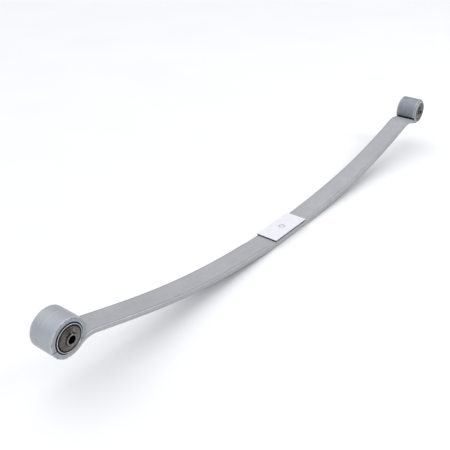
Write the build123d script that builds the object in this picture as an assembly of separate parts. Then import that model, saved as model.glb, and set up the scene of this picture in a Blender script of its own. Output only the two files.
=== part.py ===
from build123d import *
import math
import os

# Single-leaf suspension spring with a rolled eye and a bonded rubber bush at each end.
# Millimetres. Origin: axis of the centre dowel on the top face of the seat plate.
# +X towards the rear eye, +Y across the leaf, +Z up.

# ---------------------------------------------------------------- leaf
LEAF_WIDTH = 60.6          # as-rolled bar width
EDGE_R = 3.6               # rounded mill edge of the bar
T_CENTRE = 16.6            # thickness under the seat
T_FRONT = 9.8              # thickness where the front bend starts
T_REAR = 13.9              # thickness where the rear bend starts
TAPER_FRONT = 1.0          # how the thickness falls towards each end, 1 is linear
TAPER_REAR = 1.35
SEAT_FLAT = 74.0           # half length of the flat clamped seat
SEAT_BLEND = 150.0         # where the free curve of the leaf is fully reached
LEAF_TOP_Z = -4.1          # leaf top under the seat
CURVE_X0 = -24.7           # offset of the seat centre from the vertex of the camber curve
CAMBER = (40.546, -2.627, 11.223, 0.984, -2.849)   # s^2 ... s^6 of the camber curve, s = x / 500

# ---------------------------------------------------------------- eyes
EYE_HALF = 29.3            # half width of the milled eye faces
FRONT_EYE = (-743.1, 118.5)
FRONT_BORE_R = 31.2
FRONT_WALL = 10.3
REAR_EYE = (785.7, 98.9)
REAR_BORE_R = 28.5
REAR_WALL = 12.4
FRONT_BEND_X = -678.0      # start of the reverse bend before the front eye
FRONT_BEND_R = 53.0
REAR_BEND_X = 684.0
REAR_BEND_R = 100.0
FRONT_TIP_GAP = 0.5        # gap between the end of the roll and the leaf
REAR_TIP_GAP = 3.6
FRONT_TIP_LEAN = 8.0       # degrees that the inner corner of the roll's end runs past the outer one
REAR_TIP_LEAN = 1.5

# ---------------------------------------------------------------- seat
SEAT_LEN = 144.0
SEAT_WIDTH = 60.4
PLATE_T = 1.6
SEAT_HOLE_D = 16.0
DOWEL_HEAD_D = 14.4
DOWEL_D = 12.0
DOWEL_SINK_D = 17.0        # countersink on the underside of the leaf
DOWEL_SINK_T = 2.6

# ---------------------------------------------------------------- bushes
BOLT_R = 8.1               # bolt bore of both inner sleeves
INNER_R = 12.5
FRONT_INNER_HALF = 37.0
REAR_INNER_HALF = 37.5
RUN = 0.05                 # radial running clearance, inner sleeve to rubber
FRONT_NOSE_R = 29.4        # outer sleeve where it stands out of the front eye
FRONT_SLEEVE_ID_R = 27.4
FRONT_SLEEVE_HALF = 31.4
FRONT_FIT_HALF = 25.4      # half length of the front press fit
FRONT_CAP_R = 24.4
REAR_SLEEVE_ID_R = 26.0
REAR_SLEEVE_HALF = 28.6
COLLAR_R = 35.0            # rubber collars that bulge over the rear eye's faces
COLLAR_HALF = 34.4
REAR_CAP_R = 23.4


def camber(x):
    """Free curve of the leaf top, measured from its vertex."""
    s = (x + CURVE_X0) / 500.0
    return sum(c * s ** (k + 2) for k, c in enumerate(CAMBER))


def leaf_top(x):
    """Top surface: flat under the seat, blending into the free curve."""
    a = abs(x)
    if a <= SEAT_FLAT:
        return LEAF_TOP_Z
    w = min(1.0, (a - SEAT_FLAT) / (SEAT_BLEND - SEAT_FLAT))
    w = w * w * (3 - 2 * w)
    return LEAF_TOP_Z + w * camber(x)


def thickness(x):
    a = max(0.0, abs(x) - SEAT_FLAT)
    end = (FRONT_BEND_X, T_FRONT, TAPER_FRONT) if x < 0 else (REAR_BEND_X, T_REAR, TAPER_REAR)
    return T_CENTRE + (end[1] - T_CENTRE) * (a / (abs(end[0]) - SEAT_FLAT)) ** end[2]


def mid(x):
    """Middle of the leaf below the top point at x, and the unit tangent towards +X."""
    h = 0.5
    t = Vector(2 * h, leaf_top(x + h) - leaf_top(x - h)).normalized()
    n = Vector(-t.Y, t.X)
    p = Vector(x, leaf_top(x)) - n * (thickness(x) / 2)
    return p, t


def end_path(x0, bend_r, eye, side, bore_r, wall):
    """Reverse bend, straight and start of the roll for one end.
    side is -1 at the front, +1 at the rear. Returns the bend centre, the bend's start
    and end points, the roll's start point and the polar angles that go with them."""
    p0, t0 = mid(x0)
    d0 = t0 * side
    down = Vector(t0.Y, -t0.X)                    # unit normal pointing below the leaf
    c1 = p0 + down * bend_r
    c2 = Vector(*eye)
    r2 = bore_r + wall / 2
    v = c2 - c1
    dist = v.length
    base = math.atan2(v.Y, v.X)
    off = math.acos((bend_r + r2) / dist)
    # crossing tangent between the bend circle and the roll circle
    best = None
    for a in (base - off, base + off):
        q1 = c1 + Vector(math.cos(a), math.sin(a)) * bend_r
        q2 = c2 - Vector(math.cos(a), math.sin(a)) * r2
        run = (q2 - q1).normalized()
        travel = Vector(math.sin(a), -math.cos(a)) * side   # path direction on the bend
        score = run.dot(travel)
        if best is None or score > best[0]:
            best = (score, a, q1, q2)
    _, a, q1, q2 = best
    a0 = math.atan2(p0.Y - c1.Y, p0.X - c1.X)
    return dict(c1=c1, r1=bend_r, a0=a0, a1=a, p0=p0, q1=q1, q2=q2,
                start=math.atan2(q2.Y - c2.Y, q2.X - c2.X), c2=c2, r2=r2,
                bore=bore_r, wall=wall, outer=bore_r + wall)


def path_points(info, side, t_start, n_bend=7, n_run=3):
    """Points and normals on one end, from the bend's start to the roll's start."""
    out = []
    run_len = (info["q2"] - info["q1"]).length
    bend_len = abs(info["a1"] - info["a0"]) * info["r1"]
    total = run_len + bend_len
    for i in range(1, n_bend + 1):
        a = info["a0"] + (info["a1"] - info["a0"]) * i / n_bend
        u = Vector(math.cos(a), math.sin(a))
        out.append((info["c1"] + u * info["r1"], u, bend_len * i / n_bend / total))
    u = Vector(math.cos(info["a1"]), math.sin(info["a1"]))
    for i in range(1, n_run + 1):
        p = info["q1"] + (info["q2"] - info["q1"]) * (i / n_run)
        out.append((p, u, (bend_len + run_len * i / n_run) / total))
    return [(p, u, t_start + (info["wall"] - t_start) * (f * f * (3 - 2 * f))) for p, u, f in out]


front = end_path(FRONT_BEND_X, FRONT_BEND_R, FRONT_EYE, -1, FRONT_BORE_R, FRONT_WALL)
rear = end_path(REAR_BEND_X, REAR_BEND_R, REAR_EYE, 1, REAR_BORE_R, REAR_WALL)

stations = [FRONT_BEND_X, -650, -600, -540, -480, -410, -340, -270, -210, -150, -110, -74,
            -40, 0, 40, 74, 110, 150, 210, 270, 340, 410, 480, 540, 600, 650, REAR_BEND_X]
body_pts = []
for x in stations:
    p, t = mid(x)
    body_pts.append((p, Vector(-t.Y, t.X), thickness(x)))
chain = (list(reversed(path_points(front, -1, T_FRONT))) + body_pts
         + path_points(rear, 1, T_REAR))
top_pts = [p + n * (t / 2) for p, n, t in chain]
bot_pts = [p - n * (t / 2) for p, n, t in chain]


def polar(c, r, a):
    return Vector(c.X + r * math.cos(a), c.Y + r * math.sin(a))


def nearest_gap(point, pts):
    """Signed height of a point above the leaf's top polyline."""
    best = 1e9
    for a, b in zip(pts, pts[1:]):
        if min(a.X, b.X) - 1e-6 <= point.X <= max(a.X, b.X) + 1e-6 and abs(b.X - a.X) > 1e-9:
            f = (point.X - a.X) / (b.X - a.X)
            best = min(best, point.Y - (a.Y + f * (b.Y - a.Y)))
    return best


def roll_end(info, side, gap, pts):
    """Polar angle where the end of the roll stops, gap above the leaf's top face."""
    start = info["start"]
    k = 0
    a = start
    step = math.radians(0.25)
    # side -1 rolls clockwise seen from -Y, side +1 rolls counterclockwise
    while True:
        k += 1
        a = start + side * step * k
        if k * step < math.radians(200):
            continue
        if nearest_gap(polar(info["c2"], info["outer"], a), pts) < gap:
            return a - side * step


front_end = roll_end(front, -1, FRONT_TIP_GAP, top_pts)
rear_end = roll_end(rear, 1, REAR_TIP_GAP, top_pts)
front["lean"] = math.radians(FRONT_TIP_LEAN)
rear["lean"] = math.radians(REAR_TIP_LEAN)
print("roll angles front", round(math.degrees(front["start"]), 1), round(math.degrees(front_end), 1),
      "rear", round(math.degrees(rear["start"]), 1), round(math.degrees(rear_end), 1))


def v3(v):
    return Vector(v.X, 0, v.Y)


def tangent_at(info):
    """Leaf direction (towards +X) at the start of the roll."""
    a = info["start"]
    t = Vector(-math.sin(a), math.cos(a))
    return t if t.X > 0 else t * -1


def leaf_outline():
    tf, tr = tangent_at(front), tangent_at(rear)
    level = Vector(1, 0, 0)
    edges = []
    for pts in (top_pts, bot_pts):
        # straight under the seat, one curve on each side of it
        left = [v3(p) for p in pts if p.X < -SEAT_FLAT + 0.01]
        right = [v3(p) for p in pts if p.X > SEAT_FLAT - 0.01]
        edges += [Spline(left, tangents=[v3(tf), level]), Line(left[-1], right[0]),
                  Spline(right, tangents=[level, v3(tr)])]
    for info, end, side in ((front, front_end, -1), (rear, rear_end, 1)):
        i_top = 0 if side < 0 else -1
        c = info["c2"]
        mid_a = (info["start"] + end) / 2
        outer_end = polar(c, info["outer"], end)
        # the end face of the roll leans back so that it lies along the leaf
        inner_end = polar(c, info["bore"], end + side * info["lean"])
        edges.append(ThreePointArc(v3(bot_pts[i_top]), v3(polar(c, info["outer"], mid_a)), v3(outer_end)))
        edges.append(Line(v3(outer_end), v3(inner_end)))
        edges.append(ThreePointArc(v3(top_pts[i_top]), v3(polar(c, info["bore"], mid_a)), v3(inner_end)))
    return edges


def leaf_solid():
    wire = Wire(leaf_outline())
    face = Face(wire)
    solid = Solid.extrude(face, Vector(0, LEAF_WIDTH, 0)).moved(Location((0, -LEAF_WIDTH / 2, 0)))
    return solid


def turned(points, centre):
    """Ring about an axis along Y through centre, from (radius, y) profile points."""
    cx, cz = centre
    wire = Wire.make_polygon([Vector(cx + r, y, cz) for r, y in points], close=True)
    return Solid.revolve(Face(wire), 360, Axis((cx, 0, cz), (0, 1, 0)))


def both_ends(profile):
    """Mirror a (radius, y) list about y = 0 into one closed outline."""
    return profile + [(r, -y) for r, y in reversed(profile)]


raw = leaf_solid()
side_edges = [e for e in raw.edges()
              if abs(e.bounding_box().size.Y) < 1e-3 and e.length > 14]
leaf = raw.fillet(EDGE_R, side_edges)

# milled eye faces: the sides of each roll are cut back, the leaf beside it is not
for info, end, side in ((front, front_end, -1), (rear, rear_end, 1)):
    c = info["c2"]
    r = info["outer"] + 3
    a_from = end - side * math.radians(6)
    a_to = info["start"] + side * math.radians(38)
    a_tip = end + side * (info["lean"] + math.radians(0.5))
    n = 48
    # outline of the milled sector: along the end of the roll, round the outside, back round the bore
    ring = [v3(polar(c, info["outer"] + 0.2, end + side * math.radians(0.2)))]
    ring += [v3(polar(c, r, a_from + (a_to - a_from) * i / n)) for i in range(n + 1)]
    ring += [v3(polar(c, info["bore"] - 4, a_to + (a_tip - a_to) * i / n)) for i in range(n + 1)]
    ring += [v3(polar(c, info["bore"], a_tip))]
    sector = Face(Wire.make_polygon(ring, close=True))
    for y0, d in ((-LEAF_WIDTH, LEAF_WIDTH - EYE_HALF), (EYE_HALF, LEAF_WIDTH - EYE_HALF)):
        tool = Solid.extrude(sector, Vector(0, d, 0)).moved(Location((0, y0, 0)))
        leaf = leaf - tool
        if side > 0:
            # round spot face under the rubber collar of the rear bush
            leaf = leaf - Solid.make_cylinder(COLLAR_R + 0.6, d, Plane((c.X, y0 + d, c.Y), z_dir=(0, -1, 0)))

# dowel hole with a countersink on the underside
bottom_z = LEAF_TOP_Z - T_CENTRE
hole = Solid.make_cylinder(DOWEL_D / 2, T_CENTRE + 2, Plane((0, 0, bottom_z - 1)))
sink = Solid.make_cone(DOWEL_SINK_D / 2, DOWEL_D / 2, DOWEL_SINK_T, Plane((0, 0, bottom_z)))
leaf = leaf - hole - sink

# seat pad: fills the height between the leaf and the plate
pad = Solid.make_box(SEAT_LEN, SEAT_WIDTH, -LEAF_TOP_Z - PLATE_T,
                     Plane((-SEAT_LEN / 2, -SEAT_WIDTH / 2, LEAF_TOP_Z)))
seat_bore = Solid.make_cylinder(SEAT_HOLE_D / 2, 20, Plane((0, 0, -10)))
pad = pad - seat_bore
plate = Solid.make_box(SEAT_LEN, SEAT_WIDTH, PLATE_T, Plane((-SEAT_LEN / 2, -SEAT_WIDTH / 2, -PLATE_T)))
plate = plate - seat_bore
if isinstance(plate, ShapeList):
    plate = plate[0]

# centre dowel: low head in the seat hole, shank through the leaf, set into the countersink
dowel = Solid.make_cylinder(DOWEL_HEAD_D / 2, -LEAF_TOP_Z, Plane((0, 0, LEAF_TOP_Z)))
dowel = dowel + Solid.make_cylinder(DOWEL_D / 2, T_CENTRE, Plane((0, 0, bottom_z)))
dowel = dowel + Solid.make_cone(DOWEL_SINK_D / 2, DOWEL_D / 2, DOWEL_SINK_T, Plane((0, 0, bottom_z)))

parts = {"main_leaf": leaf, "seat_pad": pad, "seat_plate": plate, "centre_dowel": dowel}

def inner_sleeve(half, centre):
    return turned(both_ends([(BOLT_R, half - 0.8), (BOLT_R + 0.8, half),
                             (INNER_R - 1.1, half), (INNER_R, half - 1.1)]), centre)


def end_cap(rim_r, y0, hub_y, centre, side):
    """Dished end plate: collar on the sleeve, cone down to a rolled rim. y0 is its back."""
    profile = [(INNER_R, y0 + 2.4), (INNER_R, hub_y), (14.3, hub_y), (rim_r - 2.8, y0 + 1.9),
               (rim_r - 1.0, y0 + 2.0), (rim_r - 0.5, y0 + 3.0), (rim_r, y0 + 2.8), (rim_r, y0 + 1.4),
               (rim_r - 1.4, y0 + 0.2), (rim_r - 4.0, y0), (14.6, y0 + 2.4)]
    return turned([(r, side * y) for r, y in profile], centre)


# front bush: steel sleeve standing a little proud, rubber showing as a ring round each cap
n, c = "front_bush_", FRONT_EYE
parts[n + "outer_sleeve"] = turned(both_ends([
    (FRONT_SLEEVE_ID_R, FRONT_SLEEVE_HALF - 0.7), (FRONT_SLEEVE_ID_R + 0.7, FRONT_SLEEVE_HALF),
    (FRONT_NOSE_R - 0.6, FRONT_SLEEVE_HALF), (FRONT_NOSE_R, FRONT_SLEEVE_HALF - 0.6),
    (FRONT_NOSE_R, FRONT_FIT_HALF + 1.8), (FRONT_BORE_R, FRONT_FIT_HALF)]), c)
parts[n + "rubber"] = turned(both_ends([
    (INNER_R + RUN, 29.0), (15.0, 29.6), (FRONT_CAP_R, 29.6), (FRONT_CAP_R + 0.4, 30.4),
    (FRONT_CAP_R + 1.3, 31.0), (FRONT_SLEEVE_ID_R - 0.5, 31.0), (FRONT_SLEEVE_ID_R, 30.4)]), c)
parts[n + "inner_sleeve"] = inner_sleeve(FRONT_INNER_HALF, c)
parts[n + "left_cap"] = end_cap(FRONT_CAP_R, 30.0, 34.9, c, -1)
parts[n + "right_cap"] = end_cap(FRONT_CAP_R, 30.0, 34.9, c, 1)

# rear bush: sleeve inside the eye, rubber bulging over both faces as a collar
n, c = "rear_bush_", REAR_EYE
parts[n + "outer_sleeve"] = turned(both_ends([
    (REAR_SLEEVE_ID_R, REAR_SLEEVE_HALF), (REAR_BORE_R - 0.8, REAR_SLEEVE_HALF),
    (REAR_BORE_R, REAR_SLEEVE_HALF - 0.8)]), c)
parts[n + "rubber"] = turned(both_ends([
    (INNER_R + RUN, 30.0), (15.0, 30.8), (REAR_CAP_R, 30.8), (REAR_CAP_R + 0.4, 31.8), (REAR_CAP_R + 2.0, 34.2),
    (COLLAR_R - 4.0, COLLAR_HALF), (COLLAR_R - 1.2, COLLAR_HALF - 0.8), (COLLAR_R, COLLAR_HALF - 2.4),
    (COLLAR_R - 0.2, 30.0), (COLLAR_R - 0.8, EYE_HALF), (REAR_BORE_R, EYE_HALF), (REAR_BORE_R - 0.8, REAR_SLEEVE_HALF),
    (REAR_SLEEVE_ID_R, REAR_SLEEVE_HALF)]), c)
parts[n + "inner_sleeve"] = inner_sleeve(REAR_INNER_HALF, c)
parts[n + "left_cap"] = end_cap(REAR_CAP_R, 31.2, 35.6, c, -1)
parts[n + "right_cap"] = end_cap(REAR_CAP_R, 31.2, 35.6, c, 1)

os.makedirs("parts", exist_ok=True)
for name, shape in parts.items():
    if isinstance(shape, ShapeList):
        shape = Compound(children=list(shape)) if len(shape) > 1 else shape[0]
    shape.label = name
    export_step(shape, "parts/" + name + ".step")
    bb = shape.bounding_box()
    print(name, "volume", round(shape.volume, 1), "box",
          [round(v, 1) for v in (*bb.min, *bb.max)], "valid", shape.is_valid)
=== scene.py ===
import bpy
import math
import numpy as np
from mathutils import Matrix, Vector, noise


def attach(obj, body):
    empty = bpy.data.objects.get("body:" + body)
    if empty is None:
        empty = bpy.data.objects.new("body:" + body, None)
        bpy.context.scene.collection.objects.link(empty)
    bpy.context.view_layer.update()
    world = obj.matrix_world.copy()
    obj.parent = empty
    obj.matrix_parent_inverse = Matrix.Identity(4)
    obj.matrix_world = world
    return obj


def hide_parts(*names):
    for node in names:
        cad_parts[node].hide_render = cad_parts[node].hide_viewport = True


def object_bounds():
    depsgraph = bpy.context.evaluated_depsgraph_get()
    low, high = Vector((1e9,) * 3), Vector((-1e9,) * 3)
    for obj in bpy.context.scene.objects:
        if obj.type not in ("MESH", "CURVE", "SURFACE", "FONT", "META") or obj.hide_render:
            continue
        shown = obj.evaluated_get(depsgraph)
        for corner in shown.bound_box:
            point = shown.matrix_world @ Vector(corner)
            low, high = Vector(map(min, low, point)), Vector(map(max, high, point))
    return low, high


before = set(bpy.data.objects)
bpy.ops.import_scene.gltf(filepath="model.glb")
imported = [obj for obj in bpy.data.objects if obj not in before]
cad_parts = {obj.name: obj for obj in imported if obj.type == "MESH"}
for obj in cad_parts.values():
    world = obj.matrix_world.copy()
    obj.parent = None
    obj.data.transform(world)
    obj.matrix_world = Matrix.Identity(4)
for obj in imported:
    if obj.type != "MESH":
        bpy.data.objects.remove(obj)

cad_lo, cad_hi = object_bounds()
MM = 0.001

# ============================================================ dimensions, mm
LEAF_W = 30.3              # half width of the bar
EYE_W = 29.3               # half width over the milled eye faces
T_CENTRE, T_FRONT, T_REAR = 16.6, 9.8, 13.9
TAPER_FRONT, TAPER_REAR = 1.0, 1.35
SEAT_FLAT, SEAT_BLEND = 74.0, 150.0
LEAF_TOP_Z = -4.1
CURVE_X0 = -24.7
CAMBER = (40.546, -2.627, 11.223, 0.984, -2.849)
FRONT_BEND_X, FRONT_BEND_R = -678.0, 53.0
REAR_BEND_X, REAR_BEND_R = 684.0, 100.0
FRONT_EYE, FRONT_BORE, FRONT_WALL = np.array([-743.1, 118.5]), 31.2, 10.3
REAR_EYE, REAR_BORE, REAR_WALL = np.array([785.7, 98.9]), 28.5, 12.4
FRONT_END, REAR_END = math.radians(-384.3), math.radians(199.8)
FRONT_LEAN, REAR_LEAN = math.radians(8.0), math.radians(1.5)


# ============================================================ line of the leaf
def camber(x):
    s = (x + CURVE_X0) / 500.0
    return sum(c * s ** (k + 2) for k, c in enumerate(CAMBER))


def leaf_top(x):
    a = abs(x)
    if a <= SEAT_FLAT:
        return LEAF_TOP_Z
    w = min(1.0, (a - SEAT_FLAT) / (SEAT_BLEND - SEAT_FLAT))
    w = w * w * (3 - 2 * w)
    return LEAF_TOP_Z + w * camber(x)


def thickness(x):
    a = max(0.0, abs(x) - SEAT_FLAT)
    x1, t1, power = (FRONT_BEND_X, T_FRONT, TAPER_FRONT) if x < 0 else (REAR_BEND_X, T_REAR, TAPER_REAR)
    return T_CENTRE + (t1 - T_CENTRE) * (a / (abs(x1) - SEAT_FLAT)) ** power


def leaf_mid(x):
    h = 0.5
    t = np.array([2 * h, leaf_top(x + h) - leaf_top(x - h)])
    t /= np.linalg.norm(t)
    n = np.array([-t[1], t[0]])
    return np.array([x, leaf_top(x)]) - n * thickness(x) / 2, t, n


def end_info(x0, bend_r, eye, side, bore, wall):
    p0, t0, n0 = leaf_mid(x0)
    c1 = p0 - n0 * bend_r
    r2 = bore + wall / 2
    v = eye - c1
    dist = np.linalg.norm(v)
    base = math.atan2(v[1], v[0])
    off = math.acos((bend_r + r2) / dist)
    best = None
    for a in (base - off, base + off):
        u = np.array([math.cos(a), math.sin(a)])
        q1, q2 = c1 + u * bend_r, eye - u * r2
        run = (q2 - q1) / np.linalg.norm(q2 - q1)
        score = run @ (np.array([math.sin(a), -math.cos(a)]) * side)
        if best is None or score > best[0]:
            best = (score, a, q1, q2)
    _, a, q1, q2 = best
    a0 = math.atan2(p0[1] - c1[1], p0[0] - c1[0])
    return dict(c1=c1, r1=bend_r, a0=a0, a1=a, q1=q1, q2=q2, wall=wall, bore=bore, outer=bore + wall, eye=eye,
                start=math.atan2(q2[1] - eye[1], q2[0] - eye[0]))


front = end_info(FRONT_BEND_X, FRONT_BEND_R, FRONT_EYE, -1, FRONT_BORE, FRONT_WALL)
rear = end_info(REAR_BEND_X, REAR_BEND_R, REAR_EYE, 1, REAR_BORE, REAR_WALL)


def bend_stations(info, t_start, step=2.2):
    """(top point, bottom point) pairs from the leaf's bend to the start of the roll."""
    run_len = np.linalg.norm(info["q2"] - info["q1"])
    bend_len = abs(info["a1"] - info["a0"]) * info["r1"]
    total = run_len + bend_len
    out = []
    nb, nr = max(4, round(bend_len / step)), max(2, round(run_len / step))
    for i in range(1, nb + 1):
        a = info["a0"] + (info["a1"] - info["a0"]) * i / nb
        u = np.array([math.cos(a), math.sin(a)])
        out.append((info["c1"] + u * info["r1"], u, bend_len * i / nb / total))
    u = np.array([math.cos(info["a1"]), math.sin(info["a1"])])
    for i in range(1, nr):
        p = info["q1"] + (info["q2"] - info["q1"]) * (i / nr)
        out.append((p, u, (bend_len + run_len * i / nr) / total))
    rows = []
    for p, u, f in out:
        t = t_start + (info["wall"] - t_start) * f * f * (3 - 2 * f)
        rows.append((p + u * t / 2, p - u * t / 2, None))
    return rows


def smooth(f):
    f = min(1.0, max(0.0, f))
    return f * f * (3 - 2 * f)


# features of the milled eye faces, by polar angle in degrees about the eye
FRONT_MILL_TO, FRONT_SEAM, NICK_AT = -104.0, -163.2, -189.0
REAR_MILL_TO = -69.4
FACE_CHIPS = ((NICK_AT, 41.4, 2.0), (-285.0, 39.0, 1.1), (-298.0, 37.4, 1.0), (-352.4, 41.0, 1.3), (-231.0, 41.2, 0.9),
              (-141.0, 40.6, 1.0), (-318.0, 40.4, 0.8))


def roll_angles(start, end, marks):
    """Angles from the start of the roll to its end, closer together near the marks."""
    lo, hi = sorted((math.degrees(start), math.degrees(end)))
    a, out = lo, []
    while a < hi - 1e-9:
        out.append(a)
        near = min([abs((a + 360 * k) - m) for m in marks for k in (-1, 0, 1)] + [9])
        edge = min(a - lo, hi - a)
        step = 0.28 if near < 1.8 else (0.6 if near < 3.2 or edge < 2.5 else 1.6)
        a += step
    out.append(hi)
    if out[-1] - out[-2] < 0.15:
        out.pop(-2)
    out = [math.radians(v) for v in out]
    return out if start < end else out[::-1]


def roll_stations(info, end, lean, side, marks):
    rows = []
    for a in roll_angles(info["start"], end, marks):
        past = abs(end - a)
        k = lean * (1 - smooth(past / math.radians(26)))
        ai = a + side * k
        top = info["eye"] + info["bore"] * np.array([math.cos(ai), math.sin(ai)])
        skin = 0.10 * smooth(abs(a - info["start"]) / math.radians(14))
        bot = info["eye"] + (info["outer"] - skin) * np.array([math.cos(a), math.sin(a)])
        rows.append((top, bot, math.degrees(a)))
    return rows


stations = []      # (top xz, bottom xz, polar angle or None, which end)
for t, b, a in reversed(roll_stations(front, FRONT_END, FRONT_LEAN, -1, (FRONT_MILL_TO, FRONT_SEAM - 3.1, FRONT_SEAM, FRONT_SEAM + 3.1,
                                                                  *[c[0] for c in FACE_CHIPS]))):
    stations.append((t, b, a, -1))
for t, b, a in reversed(bend_stations(front, T_FRONT)):
    stations.append((t, b, a, 0))
xs = list(np.arange(FRONT_BEND_X, -SEAT_FLAT, 4.0)) + list(np.linspace(-SEAT_FLAT, SEAT_FLAT, 39))[:-1]
xs += list(np.arange(SEAT_FLAT, REAR_BEND_X, 4.0)) + [REAR_BEND_X]
for x in xs:
    p, t, n = leaf_mid(float(x))
    h = thickness(float(x)) / 2
    stations.append((p + n * h, p - n * h, None, 0))
for t, b, a in bend_stations(rear, T_REAR):
    stations.append((t, b, a, 0))
for t, b, a in roll_stations(rear, REAR_END, REAR_LEAN, 1, (REAR_MILL_TO,)):
    stations.append((t, b, a, 1))


# ============================================================ mesh helpers
def new_object(name, verts, faces, node, body, material, attrs=None, smooth_angle=38.0):
    """A closed mesh in metres from millimetre vertices, declared to the frame."""
    me = bpy.data.meshes.new(name)
    me.from_pydata([tuple(c * MM for c in v) for v in verts], [], faces)
    me.validate()
    for key, (kind, values) in (attrs or {}).items():
        at = me.attributes.new(key, kind, "POINT")
        flat = np.asarray(values, np.float32).ravel()
        at.data.foreach_set("vector" if kind == "FLOAT_VECTOR" else "value", flat)
    me.polygons.foreach_set("use_smooth", [True] * len(me.polygons))
    me.set_sharp_from_angle(angle=math.radians(smooth_angle))
    me.materials.append(material)
    ob = bpy.data.objects.new(name, me)
    bpy.context.scene.collection.objects.link(ob)
    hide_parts(node)
    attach(ob, body)
    return ob


def ring_faces(rows, cols, closed_rows=False):
    """Quads between consecutive rings of cols points."""
    faces = []
    last = rows if closed_rows else rows - 1
    for i in range(last):
        j = (i + 1) % rows
        for k in range(cols):
            m = (k + 1) % cols
            faces.append((i * cols + k, i * cols + m, j * cols + m, j * cols + k))
    return faces


def fillet(points, closed=True, seg=5):
    """Rounds a polyline of (a, b, radius) corners and returns plain (a, b) points."""
    out, n = [], len(points)
    for i, (a, b, r) in enumerate(points):
        p = np.array([a, b], float)
        if r <= 0 or (not closed and i in (0, n - 1)):
            out.append(p)
            continue
        p0 = np.array(points[i - 1][:2], float)
        p1 = np.array(points[(i + 1) % n][:2], float)
        u, v = p0 - p, p1 - p
        lu, lv = np.linalg.norm(u), np.linalg.norm(v)
        u, v = u / lu, v / lv
        cosang = float(np.clip(u @ v, -1, 1))
        if cosang < -0.9995:
            out.append(p)
            continue
        half = math.acos(cosang) / 2
        d = min(r / math.tan(half), 0.49 * lu, 0.49 * lv)
        rr = d * math.tan(half)
        c = p + (u + v) / np.linalg.norm(u + v) * (rr / math.sin(half))
        s, e = p + u * d - c, p + v * d - c
        a0, a1 = math.atan2(s[1], s[0]), math.atan2(e[1], e[0])
        da = (a1 - a0 + math.pi) % (2 * math.pi) - math.pi
        for k in range(seg + 1):
            ang = a0 + da * k / seg
            out.append(c + rr * np.array([math.cos(ang), math.sin(ang)]))
    return [tuple(p) for p in out]


def subdivide(points, longest, closed=True):
    out, n = [], len(points)
    for i in range(n if closed else n - 1):
        p, q = np.array(points[i]), np.array(points[(i + 1) % n])
        k = max(1, math.ceil(np.linalg.norm(q - p) / longest))
        out += [tuple(p + (q - p) * j / k) for j in range(k)]
    if not closed:
        out.append(points[-1])
    return out


def area2(points):
    return sum(p[0] * q[1] - q[0] * p[1] for p, q in zip(points, points[1:] + points[:1]))


def lathe_y(name, centre, profile, node, body, material, segs=160, mark=None, wobble=0.0, seed=0.0,
            longest=2.5, tone=None):
    """Turned ring about the eye axis, from a closed (radius, y) outline. mark and tone give a float per point."""
    pts = subdivide(profile, longest)
    if area2(pts) < 0:
        pts = pts[::-1]
    verts, wear_and_painted_light, tones = [], [], []
    for r, y in pts:
        for k in range(segs):
            a = 2 * math.pi * k / segs
            tones.append(tone(r, y, math.degrees(a)) if tone else 0.5)
            d = 0.0
            if wobble:
                d = wobble * noise.noise(Vector((r * 0.35 * math.cos(a), r * 0.35 * math.sin(a), y * 0.35 + seed)))
            verts.append((centre[0] + (r + d * 0.4) * math.cos(a), y + d * (1 if y > 0 else -1),
                          centre[1] + (r + d * 0.4) * math.sin(a)))
            wear_and_painted_light.append(mark(r, y) if mark else 0.0)
    faces = ring_faces(len(pts), segs, closed_rows=True)
    return new_object(name, verts, faces, node, body, material,
                      {"mask": ("FLOAT", wear_and_painted_light), "tone": ("FLOAT", tones)})


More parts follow.
